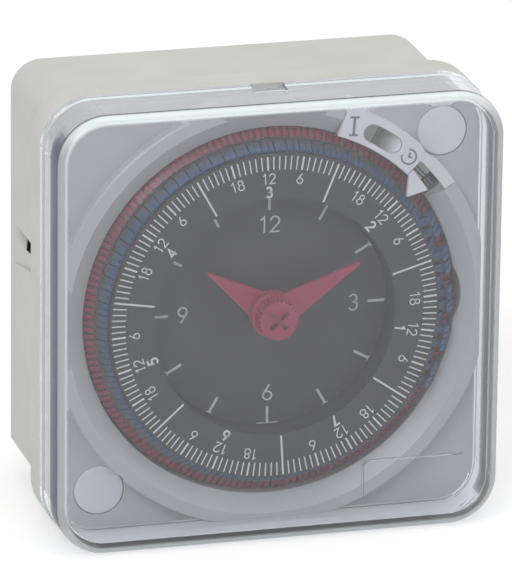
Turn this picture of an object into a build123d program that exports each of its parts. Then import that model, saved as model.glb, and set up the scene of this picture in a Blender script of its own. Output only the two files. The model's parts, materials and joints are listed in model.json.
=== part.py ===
from build123d import *
from math import acos, atan2, cos, degrees, hypot, pi, radians, sin, sqrt, tan
import os

# Weekly analogue time switch for a 72 x 72 mm panel front.
#
# The dial axis is Y, the front faces -Y, Z is up.  The origin is on the dial axis in the
# rear face.  Heights (names ending in _h) are measured forward from the rear face, and
# clock angles run clockwise from 12 as seen from the front.

os.makedirs("parts", exist_ok=True)

# ---------------------------------------------------------------- driving dimensions
bezel = 72.0  # square front
bezel_corner = 8.0
lip_side = 2.4  # flange beyond the body, at the sides, the top and the bottom
lip_top = 2.7
lip_bottom = 5.0
body_corner = 4.9
foot_corner = 1.5
flange_back_h = 23.5  # seat on the panel
flange_thick = 6.0
wall = 2.0

cover_wall = 1.9
cover_face = 2.0
cover_edge = 1.8  # rounding of the cover's front edge
cover_inner_edge = 0.2
cover_lip = 1.7  # rear band of the cover, at the full size of the bezel
cover_step = 0.25  # the cover in front of its lip is set in
cover_rise = 5.0  # cover front above the week ring
cover_gap = 0.4  # cover to faceplate
seam_gap = 0.05

plate_thick = 3.3  # faceplate corners above the flange
collar_rise = 2.1  # round collar above the corners
collar_width = 2.2
cone_width = 2.8  # slope from the collar down to the dial well
well_rim = 3.5  # faceplate edge to dial well, at the four sides

ring_lift = 6.5  # week ring front above the flange
ring_thick = 0.9
ring_width = 7.1
disc_sink = 4.2  # hour disc below the week ring
tappet_count = 84
tappet_travel = 1.6
tappet_length = 1.35
tappet_gap = 0.15  # ring to tappet
switched_pairs = 5
first_pair_angle = 64.0
tooth_count = 168
groove_depth = 1.5  # of the fine teeth around the dial
tooth_slope = 1.0  # fall of the fine teeth towards the well
groove_floor = 0.4  # below the tips of the fine teeth

screw_inset = 6.2  # case screws from the faceplate's edges
cap_radius = 4.0
cap_thick = 1.2

back_plate_h = 12.0
back_plate_thick = 1.0
front_plate_thick = 1.2
plate_right = 14.5
plate_low = -15.5
plate_inset = 2.5  # pillar centres from the plate edges

motor_radius = 19.0
motor_z = 3.0

fit = 0.05  # radial running fit of shafts
press = 0.01  # radial gap of pressed pieces
backlash = 0.12  # tooth thickness left out, as a share of the module

terminal_pitch = 10.5
terminal_count = 5
wire_radius = 2.4
wire_h = 9.6
driver_radius = 2.4  # screwdriver holes
lead_radius = 0.6

# ------------------------------------------------------------------- derived sizes
body_width = bezel - 2 * lip_side
body_top = bezel / 2 - lip_top
body_bottom = lip_bottom - bezel / 2
inner_half = body_width / 2 - wall

flange_front_h = flange_back_h + flange_thick
plate_front_h = flange_front_h + plate_thick
collar_h = plate_front_h + collar_rise
ring_front_h = flange_front_h + ring_lift
disc_front_h = ring_front_h - disc_sink
cover_front_h = ring_front_h + cover_rise
teeth_front_h = plate_front_h - 0.1
tappet_back_h = teeth_front_h + 0.1
tappet_front_h = ring_front_h - 1.0
arc_top_h = collar_h + 0.2
arc_thick = 0.9
arc_back_h = arc_top_h - arc_thick
front_plate_h = flange_back_h + 0.5
sleeve_flange_h = front_plate_h + front_plate_thick
centre_wheel_h = back_plate_h + 2.0
second_wheel_h = centre_wheel_h + 2.2
bridge_h = front_plate_h - 6.8

plate_half = bezel / 2 - cover_wall - cover_gap
well_radius = plate_half - well_rim
collar_inner = well_radius + cone_width
collar_outer = collar_inner + collar_width
toothed_radius = well_radius - 0.4
tappet_out_radius = well_radius - 0.5
tappet_in_radius = tappet_out_radius - tappet_travel
ring_outer = tappet_in_radius - tappet_length - tappet_gap
ring_inner = ring_outer - ring_width
dish_wall = 1.2
disc_radius = ring_inner - 0.3
screw_diagonal = plate_half - screw_inset
plate_left = 2.6 - inner_half
plate_high = body_top - 8.8
motor_x = motor_radius + 1.6 - inner_half
terminal_z = body_bottom + 6.5

shaft_radius = 1.0
hour_bore = shaft_radius + fit
hour_tube = 1.9
sleeve_bore = hour_tube + fit
sleeve_radius = 3.0
week_bore = sleeve_radius + fit
week_hub = 4.6
pivot = 0.7
thin_pivot = 0.5

# ------------------------------------------------------------------------ wheel work
train_module = 0.30
centre_teeth, second_pinion_teeth = 90, 12
second_module = 0.25
second_teeth, motor_teeth = 96, 12
cannon_teeth, minute_teeth = 12, 36
hour_module = 0.24
minute_pinion_teeth, hour_teeth = 12, 48
week_module = 0.27
hour_pinion_teeth, week_drive_teeth = 12, 42
week_pinion_teeth, week_teeth = 12, 48


def centre_distance(teeth_a, teeth_b, module):
    return module * (teeth_a + teeth_b) / 2


def bearing_point(start, distance, degrees):
    """Point at a distance from start, in a direction counted anticlockwise from +X."""
    return (start[0] + distance * cos(radians(degrees)), start[1] + distance * sin(radians(degrees)))


second_direction = 135.0
motor_direction = 225.0
minute_direction = 0.0
week_direction = -90.0
second_distance = centre_distance(centre_teeth, second_pinion_teeth, train_module)
motor_distance = centre_distance(second_teeth, motor_teeth, second_module)
minute_distance = centre_distance(cannon_teeth, minute_teeth, train_module)
week_distance = centre_distance(hour_pinion_teeth, week_drive_teeth, train_module)
second_axis = bearing_point((0, 0), second_distance, second_direction)
motor_axis = bearing_point(second_axis, motor_distance, motor_direction)
minute_axis = bearing_point((0, 0), minute_distance, minute_direction)
week_axis = bearing_point((0, 0), week_distance, week_direction)

# -------------------------------------------------------------------- switch members
feeler_pivot = (inner_half - 2.4, 12.5)
pin_radius = 0.9
feeler_hub = 1.7
button_z = feeler_pivot[1] - 6.0
arm_left = feeler_pivot[0] - 0.9
micro_left = arm_left - 12.1
micro_right = arm_left - 2.1
micro_low, micro_high = -6.0, 9.0
micro_wall = 1.2
micro_back_h = back_plate_h + back_plate_thick
micro_front_h = micro_back_h + 11.0
lever_first, lever_last = 31.0, 49.7  # clock angles of the manual lever
lever_travel = 5.0

# ---------------------------------------------------------------------------- helpers


def front(height):
    """Plane parallel to the front, at a height above the rear face; local x is X, y is Z."""
    return Plane.XZ.offset(height)


def polar(radius, clock):
    """Point at a radius and a clock angle."""
    return (radius * sin(radians(clock)), radius * cos(radians(clock)))


def at_height(point, height):
    """Point of the row frame over a point (x, z) of the front, at a height."""
    return (point[0], -height, point[1])


def sector(inner, outer, first, last):
    """Ring sector between two clock angles."""
    middle = (first + last) / 2
    with BuildSketch() as shape:
        with BuildLine():
            ThreePointArc(polar(outer, first), polar(outer, middle), polar(outer, last))
            Line(polar(outer, last), polar(inner, last))
            ThreePointArc(polar(inner, last), polar(inner, middle), polar(inner, first))
            Line(polar(inner, first), polar(outer, first))
        make_face()
    return shape.sketch


def involute(angle):
    return tan(angle) - angle


def tooth_points(teeth, module, towards=0.0, gap=False):
    """Outline of a spur wheel with a tooth, or a gap, pointing in one direction.

    The flanks are 20 degree involutes with a short addendum, so that twelve leaves are
    cut without undercut.
    """
    pressure = radians(20)
    pitch_radius = module * teeth / 2
    base = pitch_radius * cos(pressure)
    tip = pitch_radius + 0.7 * module
    root = pitch_radius - 0.95 * module
    half = pi / (2 * teeth) - backlash * module / (2 * pitch_radius)
    start = max(base, root)
    levels = [start, (start + tip) / 2, tip]
    flank = [(radius, half + involute(pressure) - involute(acos(base / radius))) for radius in levels]
    if root < start:
        flank.insert(0, (root, flank[0][1]))
    turn = radians(towards) + (pi / teeth if gap else 0)
    points = []
    for tooth in range(teeth):
        centre = turn + 2 * pi * tooth / teeth
        for radius, offset in flank:
            points.append((radius * cos(centre - offset), radius * sin(centre - offset)))
        for radius, offset in reversed(flank):
            points.append((radius * cos(centre + offset), radius * sin(centre + offset)))
    return points


def cylinder_between(inner, outer, low_h, high_h, centre=(0, 0)):
    """Tube along the dial axis between two heights."""
    with BuildPart() as tube:
        with BuildSketch(front(low_h)):
            with Locations(centre):
                Circle(outer)
                if inner:
                    Circle(inner, mode=Mode.SUBTRACT)
        extrude(amount=high_h - low_h)
    return tube.part


def save(piece, name):
    piece.label = name
    export_step(piece, f"parts/{name}.step")


terminal_xs = [terminal_pitch * (n - (terminal_count - 1) / 2) for n in range(terminal_count)]
cap_points = [(screw_diagonal, screw_diagonal), (-screw_diagonal, -screw_diagonal)]
pillar_points = [
    (x, z)
    for x in (plate_left + plate_inset, plate_right - plate_inset)
    for z in (plate_low + plate_inset, plate_high - plate_inset)
]
body_height = body_top - body_bottom
body_middle = (body_top + body_bottom) / 2

# ==================================================================== case

pocket_low_z, pocket_rise, pocket_high_z = 0.1, 3.0, 7.3
pocket_start_h, pocket_end_h, pocket_depth = 1.5, 17.0, 1.2
slot_low_z, slot_start_h, slot_lean = 4.4, 9.0, 0.8
tongue_gap = 0.7  # widest end of the slit above the tongue
tongue_thick = 0.4
inner_face = body_width / 2 - wall

with BuildPart() as clip_pocket:  # ramp, tongue and slot for the panel clip, on the +X side
    with BuildSketch(Plane.XY.offset(pocket_low_z)):
        Polygon(
            (body_width / 2, -pocket_start_h),
            (body_width / 2 + 1, -pocket_start_h),
            (body_width / 2 + 1, -pocket_end_h),
            (body_width / 2 - pocket_depth, -pocket_end_h),
            align=None,
        )
    extrude(amount=pocket_high_z - pocket_low_z)
    with BuildSketch(Plane.YZ.offset(inner_face)):
        Polygon(
            (0, pocket_low_z),
            (-pocket_end_h, pocket_rise),
            (-pocket_end_h, pocket_high_z),
            (0, pocket_high_z),
            align=None,
        )
    extrude(amount=wall + 2, mode=Mode.INTERSECT)
    with BuildSketch(Plane.YZ.offset(inner_face - 1)):  # slot, and the slit above the tongue
        Polygon(
            (-pocket_start_h - tongue_gap, pocket_high_z),
            (-slot_start_h, pocket_high_z - tongue_gap),
            (slot_lean - slot_start_h, slot_low_z),
            (-pocket_end_h, slot_low_z),
            (-pocket_end_h, pocket_high_z),
            align=None,
        )
    extrude(amount=wall + 2)
    with BuildSketch(Plane.XY.offset(slot_low_z)):  # room behind the tongue
        Polygon(
            (inner_face - 1, -wall - 1),
            (body_width / 2 - 2 * tongue_thick, -wall - 1),
            (body_width / 2 - pocket_depth - tongue_thick, -pocket_end_h),
            (inner_face - 1, -pocket_end_h),
            align=None,
        )
    extrude(amount=pocket_high_z - slot_low_z)

notch_width = 5.4  # pry notch in the top of the cover
notch_depth = 0.6
notch_length = 3.6
boss_radius = inner_half + 0.1 - screw_diagonal  # just into the side walls
block_front_h = 15.0
pilot_radius = 1.5
case_screw_depth = 12.0
post_radius = 2.5
screw_radius = 1.0
screw_tip_h = 6.0

with BuildPart() as housing:
    with BuildSketch(front(0)) as body_outline:
        with Locations((0, body_middle)):
            Rectangle(body_width, body_height)
        fillet(body_outline.vertices().group_by(Axis.Y)[-1], body_corner)
        fillet(body_outline.vertices().group_by(Axis.Y)[0], foot_corner)
    extrude(amount=flange_front_h)
    with BuildSketch(front(flange_back_h)):
        RectangleRounded(bezel, bezel, bezel_corner)
    extrude(amount=flange_thick)
    with BuildSketch(front(wall)) as cavity_outline:
        with Locations((0, body_middle)):
            Rectangle(body_width - 2 * wall, body_height - 2 * wall)
        fillet(cavity_outline.vertices().group_by(Axis.Y)[-1], body_corner - wall)
    extrude(amount=flange_front_h, mode=Mode.SUBTRACT)
    with BuildSketch(front(block_front_h + 1)):  # bosses for the case screws
        with Locations(*cap_points):
            Circle(boss_radius)
        with Locations((0, body_middle)):
            Rectangle(body_width - 1, body_height - 1, mode=Mode.INTERSECT)
    extrude(amount=flange_front_h - block_front_h - 1)
    with BuildSketch(front(flange_front_h - case_screw_depth - 1)):
        with Locations(*cap_points):
            Circle(pilot_radius)
    extrude(amount=case_screw_depth + 1, mode=Mode.SUBTRACT)
    with BuildSketch(front(wall)):  # posts that carry the movement
        with Locations(*pillar_points):
            Circle(post_radius)
    extrude(amount=back_plate_h - wall)
    with BuildSketch(front(screw_tip_h - 1)):
        with Locations(*pillar_points):
            Circle(screw_radius + fit)
    extrude(amount=back_plate_h - screw_tip_h + 1, mode=Mode.SUBTRACT)
    with BuildSketch(Plane.XY.offset(body_bottom)):  # wire entries in the underside
        with Locations(*[(x, -wire_h) for x in terminal_xs]):
            Circle(wire_radius)
    extrude(amount=wall, mode=Mode.SUBTRACT)
    with BuildSketch(front(0)):  # screwdriver holes in the rear face
        with Locations(*[(x, terminal_z) for x in terminal_xs]):
            Circle(driver_radius)
    extrude(amount=wall, mode=Mode.SUBTRACT)
    add(clip_pocket.part, mode=Mode.SUBTRACT)
    mirror(clip_pocket.part, about=Plane.YZ, mode=Mode.SUBTRACT)
save(housing.part, "housing")

skin = 1.3
arc_first, arc_last, arm_last = 19.5, 45.0, 56.0  # clock angles of the switch plate
window_first, window_last, window_outer = 50.3, 55.3, collar_inner + 1.6
bulge_angle, bulge_radius, bulge_reach = 88.5, 8.9, 0.8
cap_seat_h = plate_front_h - cap_thick
head_seat_h = flange_front_h + 0.8
head_radius = 2.9
shank_radius = pilot_radius - fit
cap_gap = 0.1

with BuildPart() as collar:  # round collar with its slope, broken where the switch plate sits
    with BuildSketch(Plane.XY):
        with BuildLine():
            Polyline(
                (well_radius, -plate_front_h),
                (collar_inner, -collar_h),
                (collar_outer - 0.3, -collar_h),
                (collar_outer, -collar_h + 0.3),
                (collar_outer, -plate_front_h),
                close=True,
            )
        make_face()
    revolve(axis=Axis.Y)
    with BuildSketch(front(plate_front_h)):
        Rectangle(2 * plate_half, 2 * plate_half)
        add(sector(well_radius - 1, collar_outer + 1, arc_first - 0.2, arm_last + 0.2), mode=Mode.SUBTRACT)
    extrude(amount=collar_rise, mode=Mode.INTERSECT)

with BuildPart() as faceplate:
    with BuildSketch(front(flange_front_h)):
        RectangleRounded(2 * plate_half, 2 * plate_half, bezel_corner - cover_wall - cover_gap)
    extrude(amount=plate_thick)
    add(collar.part)
    with BuildSketch(front(flange_front_h)):
        Circle(well_radius)
    extrude(amount=plate_thick + collar_rise, mode=Mode.SUBTRACT)
    with BuildSketch(front(flange_front_h)):  # hollow underside
        RectangleRounded(2 * (plate_half - skin), 2 * (plate_half - skin), bezel_corner - cover_wall - skin)
        Circle(well_radius + skin, mode=Mode.SUBTRACT)
        with Locations(*cap_points):
            Circle(cap_radius + skin, mode=Mode.SUBTRACT)
    extrude(amount=plate_thick - skin, mode=Mode.SUBTRACT)
    with BuildSketch(front(flange_front_h)):  # window of the feeler
        add(sector(well_radius - 1, window_outer, window_first, window_last))
    extrude(amount=plate_thick, mode=Mode.SUBTRACT)
    with BuildSketch(front(flange_front_h)):  # shallow bay in the edge of the well
        with Locations(polar(well_radius + bulge_reach - bulge_radius, bulge_angle)):
            Circle(bulge_radius)
    extrude(amount=plate_thick + collar_rise, mode=Mode.SUBTRACT)
    for seat_h, radius in (
        (cap_seat_h, cap_radius + cap_gap),
        (head_seat_h, head_radius + cap_gap),
        (flange_front_h, pilot_radius + cap_gap),
    ):
        with BuildSketch(front(seat_h)):
            with Locations(*cap_points):
                Circle(radius)
        extrude(amount=collar_h + 1 - seat_h, mode=Mode.SUBTRACT)
save(faceplate.part, "faceplate")

with BuildPart() as case_screws:
    with BuildSketch(front(flange_front_h - case_screw_depth)):
        with Locations(*cap_points):
            Circle(shank_radius)
    extrude(amount=head_seat_h - flange_front_h + case_screw_depth)
    with BuildSketch(front(head_seat_h)):
        with Locations(*cap_points):
            Circle(head_radius)
    extrude(amount=cap_seat_h - head_seat_h - cap_gap)
    with BuildSketch(front(cap_seat_h - 1.0)):
        with Locations(*cap_points):
            Rectangle(3.4, 0.8)
            Rectangle(0.8, 3.4)
    extrude(amount=1, mode=Mode.SUBTRACT)
save(case_screws.part, "case_screws")

with BuildPart() as screw_caps:
    with BuildSketch(front(cap_seat_h)):
        with Locations(*cap_points):
            Circle(cap_radius)
    extrude(amount=cap_thick)
    fillet(screw_caps.faces().filter_by(Plane.XZ).group_by(Axis.Y)[0].edges(), 0.25)
save(screw_caps.part, "screw_caps")

label_left, label_right = 13.7, plate_half - 3.6
label_low, label_top = 3.8 - plate_half, 9.7 - plate_half
label_corner = 1.0
groove = 0.3
rib_height = 0.5
rib_centre = (plate_half - 8.2, 7.7 - plate_half)

with BuildPart() as clear_cover:
    with BuildSketch(front(flange_front_h + seam_gap)):
        RectangleRounded(bezel, bezel, bezel_corner)
    extrude(amount=cover_lip)
    chamfer(clear_cover.faces().sort_by(Axis.Y)[0].edges(), cover_step)
    with BuildSketch(front(flange_front_h + seam_gap)):
        RectangleRounded(bezel - 2 * cover_step, bezel - 2 * cover_step, bezel_corner - cover_step)
    extrude(amount=cover_front_h - flange_front_h - seam_gap)
    fillet(clear_cover.faces().sort_by(Axis.Y)[0].edges(), cover_edge)
    with BuildSketch(front(flange_front_h)):
        RectangleRounded(bezel - 2 * cover_wall, bezel - 2 * cover_wall, bezel_corner - cover_wall)
    extrude(amount=cover_front_h - cover_face - flange_front_h, mode=Mode.SUBTRACT)
    fillet(clear_cover.faces().filter_by(Plane.XZ).sort_by(Axis.Y)[1].edges(), cover_inner_edge)
    with BuildSketch(front(flange_front_h)):
        with Locations((0, bezel / 2)):
            Rectangle(notch_width, 2 * notch_depth)
    extrude(amount=notch_length, mode=Mode.SUBTRACT)
    with BuildSketch(front(cover_front_h - cover_face)):  # outline of the label field
        with BuildLine():
            FilletPolyline(
                (label_left, label_low),
                (label_left, label_top),
                (label_right, label_top),
                radius=label_corner,
            )
        trace(line_width=groove)
    extrude(amount=groove, mode=Mode.SUBTRACT)
    with BuildSketch(front(cover_front_h - cover_face - rib_height)):  # two curved ribs in the corner
        with Locations(rib_centre):
            add(sector(5.95, 6.45, 105, 148))
            add(sector(8.35, 8.85, 130, 148))
    extrude(amount=rib_height + 0.3)
save(clear_cover.part, "clear_cover")

# ==================================================================== manual switch

arm_inner = collar_inner + 0.2
slot_radius = collar_inner - 0.45
slot_width = 3.0
slot_first, slot_last = 26.0, 38.2  # ends of the rounded slot
foot_width = 0.5
slot_turn = degrees(slot_width / 2 / slot_radius)
slot_line = CenterArc((0, 0), slot_radius, 90 - slot_last + slot_turn, slot_last - slot_first - 2 * slot_turn)

with BuildPart() as switch_plate:
    with BuildSketch(front(arc_back_h)):
        add(sector(well_radius, collar_outer, arc_first, arc_last))
        add(sector(arm_inner, collar_outer, arc_last - 1, arm_last))
    extrude(amount=arc_thick)
    fillet(switch_plate.faces().sort_by(Axis.Y)[0].edges(), 0.15)
    with BuildSketch(front(plate_front_h)):  # feet on the corner of the faceplate
        add(sector(collar_outer - foot_width, collar_outer, arc_first, 38.5))
        add(sector(collar_outer - foot_width, collar_outer, 51.5, arm_last))
    extrude(amount=arc_back_h - plate_front_h)
    with BuildSketch(front(arc_back_h)):
        SlotArc(slot_line, slot_width)
    extrude(amount=arc_thick, mode=Mode.SUBTRACT)
    with BuildSketch(front(plate_front_h)):  # clear of the screw cap
        with Locations(cap_points[0]):
            Circle(cap_radius + cap_gap)
    extrude(amount=arc_top_h - plate_front_h, mode=Mode.SUBTRACT)
save(switch_plate.part, "switch_plate")

pointer_thick = 0.7

with BuildPart() as time_pointer:
    with BuildSketch(front(arc_top_h)):
        with BuildLine():
            Polyline(
                polar(tappet_in_radius - 0.35, 49.5),
                polar(well_radius + 0.8, 52.4),
                polar(well_radius + 1.2, arc_last + 0.1),
                polar(well_radius + 0.05, arc_last + 0.1),
                close=True,
            )
        make_face()
    extrude(amount=pointer_thick)
    with BuildSketch(front(plate_front_h)):  # stem and tongue, held under the switch plate
        add(sector(well_radius + 0.05, well_radius + 0.6, arc_last + 0.2, arc_last + 2))
    extrude(amount=arc_top_h - plate_front_h)
    with BuildSketch(front(plate_front_h)):
        add(sector(well_radius + 0.05, well_radius + 0.6, arc_last - 4, arc_last + 1))
    extrude(amount=arc_back_h - plate_front_h)
save(time_pointer.part, "time_pointer")

lever_inner, lever_outer = well_radius + 0.8, collar_inner + 1.0
lever_back_h, lever_front_h = plate_front_h + 0.05, arc_back_h - 0.05
nib_turn = slot_last - slot_first - 2 * slot_turn - lever_travel - 0.1
nib_line = CenterArc((0, 0), slot_radius, 90 - slot_last + slot_turn, nib_turn)
nib_length = radians(slot_last - slot_first - lever_travel) * slot_radius
nib_low_h = lever_back_h + 0.3
nib_drop = arc_top_h - nib_low_h
scoop_radius = (nib_length**2 + nib_drop**2) / (2 * nib_drop)
scoop_axis = Plane(
    at_height(polar(slot_radius, slot_first + lever_travel), nib_low_h + scoop_radius),
    x_dir=at_height(polar(1, slot_first + lever_travel + 90), 0),
    z_dir=at_height(polar(1, slot_first + lever_travel), 0),
)
tail_first = arc_last + 0.4
rib_pitch, rib_groove, rib_depth = 0.55, 0.27, 0.5


def rib_grooves(inner, outer, first, last):
    """Fine grooves that run along the arc between two radii."""
    count = int((outer - inner) / rib_pitch)
    return [
        sector(inner + rib_pitch * n, inner + rib_pitch * n + rib_groove, first, last)
        for n in range(1, count)
    ]


with BuildPart() as manual_lever:
    with BuildSketch(front(lever_back_h)):
        add(sector(lever_inner, lever_outer, lever_first, lever_last))
    extrude(amount=lever_front_h - lever_back_h)
    with BuildSketch(front(lever_front_h)):  # thumb rest in the slot
        SlotArc(nib_line, slot_width - 0.2)
    extrude(amount=arc_top_h - lever_front_h)
    with BuildSketch(scoop_axis):  # hollow for the finger, deepest at the "on" end
        Circle(scoop_radius)
    extrude(amount=slot_width, both=True, mode=Mode.SUBTRACT)
    with BuildSketch(front(lever_front_h)):  # ribbed tail
        add(rib_grooves(lever_inner, arm_inner, tail_first, lever_last + 1))
    extrude(amount=-rib_depth, mode=Mode.SUBTRACT)
save(manual_lever.part, "manual_lever")

# ==================================================================== dial

web_back_h = disc_front_h - 2.1
web_thick = 0.9
ring_seat_h = web_back_h + 1.2
hub_back_h = front_plate_h + front_plate_thick + 1.7
ring_bevel = 0.1

with BuildPart() as week_dial:  # ring, cup wall, web and hub in one moulding
    with BuildSketch(Plane.XY):
        with BuildLine():
            Polyline(
                (week_bore, -hub_back_h),
                (week_hub, -hub_back_h),
                (week_hub, -web_back_h),
                (ring_inner + dish_wall + 1.8, -web_back_h),
                (ring_inner + dish_wall + 1.8, -ring_seat_h),
                (ring_inner + dish_wall, -ring_seat_h),
                (ring_inner + dish_wall, -(ring_front_h - ring_thick)),
                (ring_outer, -(ring_front_h - ring_thick)),
                (ring_outer, -(ring_front_h - ring_bevel)),
                (ring_outer - ring_bevel, -ring_front_h),
                (ring_inner, -ring_front_h),
                (ring_inner, -(web_back_h + web_thick)),
                (week_bore, -(web_back_h + web_thick)),
                close=True,
            )
        make_face()
    revolve(axis=Axis.Y)
save(week_dial.part, "week_dial")

with BuildPart() as toothed_ring:
    with BuildSketch(front(ring_seat_h + press)):
        outline = []
        for tooth in range(tooth_count):
            step = 2 * pi / tooth_count
            for radius, share in (
                (toothed_radius - groove_depth, -0.5),
                (toothed_radius - groove_depth, -0.28),
                (toothed_radius, -0.22),
                (toothed_radius, 0.22),
                (toothed_radius - groove_depth, 0.28),
            ):
                outline.append((radius * cos((tooth + share) * step), radius * sin((tooth + share) * step)))
        with BuildLine():
            Polyline(*outline, close=True)
        make_face()
        Circle(ring_inner + dish_wall + press, mode=Mode.SUBTRACT)
    extrude(amount=teeth_front_h - ring_seat_h - press)
    with BuildSketch(Plane.XY):  # slope of the teeth
        Polygon(
            (toothed_radius - groove_depth, -teeth_front_h),
            (toothed_radius + 1, -teeth_front_h),
            (toothed_radius, tooth_slope - teeth_front_h),
            align=None,
        )
    revolve(axis=Axis.Y, mode=Mode.SUBTRACT)
    with BuildSketch(Plane.XY):  # floor of the grooves
        Polygon(
            (toothed_radius - groove_depth - 0.1, groove_floor - teeth_front_h),
            (toothed_radius - 0.1, groove_floor + tooth_slope - teeth_front_h),
            (toothed_radius - 0.1, -(ring_seat_h + press)),
            (toothed_radius - groove_depth - 0.1, -(ring_seat_h + press)),
            align=None,
        )
    revolve(axis=Axis.Y)
save(toothed_ring.part, "toothed_ring")

tappet_pitch = 360 / tappet_count
tappet_turn = tappet_pitch / 2 - 0.22
tappet_inner = ring_outer + tappet_gap
tappet_edge_h = tappet_back_h + 0.7  # outer end of the slope
tappet_land = 0.3
comb_width, comb_depth = 0.32, 0.4
tongue_width = 1.15
tongue_root = ring_outer - 2.3

with BuildPart() as tappet_blank:  # one captive tappet at 12 o'clock, pushed in
    with BuildSketch(Plane.YZ):
        Polygon(
            (-tappet_back_h, tappet_inner - 0.1),
            (-tappet_back_h, tappet_in_radius),
            (-tappet_edge_h, tappet_in_radius),
            (-tappet_front_h, tappet_inner + tappet_land),
            (-tappet_front_h, tappet_inner - 0.1),
            align=None,
        )
    extrude(amount=tongue_width, both=True)
    with BuildSketch(front(tappet_back_h)):
        add(sector(tappet_inner, tappet_in_radius, -tappet_turn, tappet_turn))
    extrude(amount=tappet_front_h - tappet_back_h, mode=Mode.INTERSECT)
    with BuildSketch(Plane.YZ):  # groove that parts the slope into two teeth
        Polygon(
            (comb_depth - tappet_edge_h, tappet_in_radius + 0.1),
            (comb_depth - tappet_front_h, tappet_inner + tappet_land),
            (comb_depth - tappet_front_h, tappet_inner - 0.1),
            (-tappet_front_h - 1, tappet_inner - 0.1),
            (-tappet_front_h - 1, tappet_in_radius + 0.1),
            align=None,
        )
    extrude(amount=comb_width / 2, both=True, mode=Mode.SUBTRACT)
    with BuildSketch(front(tappet_back_h)):  # tongue that slides below the ring
        with Locations((0, (tongue_root + ring_outer + 0.4) / 2)):
            Rectangle(tongue_width, ring_outer + 0.4 - tongue_root)
    extrude(amount=ring_front_h - ring_thick - 0.15 - tappet_back_h - 0.9)

tappet_angles = [first_pair_angle + tappet_pitch * (n + 0.5) for n in range(tappet_count)]
switched = [n for pair in range(switched_pairs) for n in (3 * pair - 1, 3 * pair)]
switched_angles = [first_pair_angle + tappet_pitch * (n + 0.5) for n in switched]
resting_angles = [
    angle
    for angle in tappet_angles
    if all(abs((angle - other + 180) % 360 - 180) > 0.1 for other in switched_angles)
]


def turned(clock, travel=0.0):
    """Location of a tappet at a clock angle, moved outwards."""
    return Location((travel * sin(radians(clock)), 0, travel * cos(radians(clock))), (0, clock, 0))


with BuildPart() as tappets:
    with Locations(*[turned(angle) for angle in resting_angles]):
        add(tappet_blank.part)
save(tappets.part, "tappets")

for number, angle in enumerate(switched_angles, start=1):
    with BuildPart() as switched_tappet:
        with Locations(turned(angle, tappet_travel)):
            add(tappet_blank.part)
    save(switched_tappet.part, f"switched_tappet_{number:02d}")

with BuildPart() as week_gear:
    with BuildSketch(front(hub_back_h + 0.1)):
        Polygon(*tooth_points(week_teeth, week_module, week_direction), align=None)
        Circle(week_hub + press, mode=Mode.SUBTRACT)
    extrude(amount=1.4)
save(week_gear.part, "week_gear")

with BuildPart() as centre_sleeve:
    with BuildSketch(front(sleeve_flange_h)):
        Circle(sleeve_radius)
    extrude(amount=disc_front_h - 0.2 - sleeve_flange_h)
    with BuildSketch(front(sleeve_flange_h)):
        Circle(4.2)
    extrude(amount=1.2)
    with BuildSketch(front(sleeve_flange_h)):
        Circle(sleeve_bore)
    extrude(amount=disc_front_h, mode=Mode.SUBTRACT)
save(centre_sleeve.part, "centre_sleeve")

save(cylinder_between(sleeve_radius + press, disc_radius, disc_front_h - 0.8, disc_front_h), "hour_disc")

# ==================================================================== hands

hour_hand_h = ring_front_h - 2.4
minute_hand_h = ring_front_h - 1.15
hand_thick = 0.7
hand_hub = 3.7
hand_base, hand_tip = 5.4, 0.2
knob_depth = 1.4  # of the shaft's bore in the knob
hour_angle, minute_angle = 305.0, 61.0
hour_length, minute_length = ring_inner - 6.7, ring_inner - 3.7


def hand(clock, length, height):
    """Tapered hand with a round hub."""
    side, tip = hand_base / 2, hand_tip
    with BuildPart() as piece:
        with BuildSketch(front(height)):
            with Locations(Location((0, 0, 0), (0, 0, -clock))):
                Polygon((-side, 0.6), (-tip, length), (tip, length), (side, 0.6), align=None)
            Circle(hand_hub)
        extrude(amount=hand_thick)
        fillet(piece.faces().sort_by(Axis.Y)[0].edges(), 0.12)
    return piece.part


with BuildPart() as hour_hand:
    add(hand(hour_angle, hour_length, hour_hand_h))
    with BuildSketch(front(disc_front_h + 0.4)):
        Circle(hour_tube + 1.1)
    extrude(amount=hour_hand_h - disc_front_h - 0.4)
    with BuildSketch(front(disc_front_h)):
        Circle(hour_tube + press)
    extrude(amount=ring_front_h, mode=Mode.SUBTRACT)
save(hour_hand.part, "hour_hand")

with BuildPart() as minute_hand:
    add(hand(minute_angle, minute_length, minute_hand_h))
    with BuildSketch(front(minute_hand_h - 0.1)):
        Circle(shaft_radius + press)
    extrude(amount=2, mode=Mode.SUBTRACT)
save(minute_hand.part, "minute_hand")

knob_h = minute_hand_h + hand_thick
knob_radius = 3.2
knob_front_h = ring_front_h + 2.1
knurls = 26
recess_length, recess_width, recess_depth = 3.8, 0.9, 1.0

with BuildPart() as hand_knob:
    with BuildSketch(front(knob_h)):
        knurl_points = []
        for knurl in range(knurls):
            for radius, share in ((knob_radius - 0.3, 0.0), (knob_radius, 0.3), (knob_radius, 0.7)):
                turn = 2 * pi * (knurl + share) / knurls
                knurl_points.append((radius * cos(turn), radius * sin(turn)))
        Polygon(*knurl_points, align=None)
    extrude(amount=knob_front_h - knob_h)
    with BuildSketch(front(knob_front_h - recess_depth)):  # cross recess
        with Locations(Location((0, 0, 0), (0, 0, 43))):
            Rectangle(recess_length, recess_width)
            Rectangle(recess_width, recess_length)
    extrude(amount=recess_depth, mode=Mode.SUBTRACT)
    with BuildSketch(front(knob_h)):
        Circle(shaft_radius + press)
    extrude(amount=knob_depth, mode=Mode.SUBTRACT)
save(hand_knob.part, "hand_knob")

# ==================================================================== movement

save(cylinder_between(0, shaft_radius, back_plate_h + 0.1, knob_h + knob_depth - 0.1), "minute_shaft")

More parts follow.
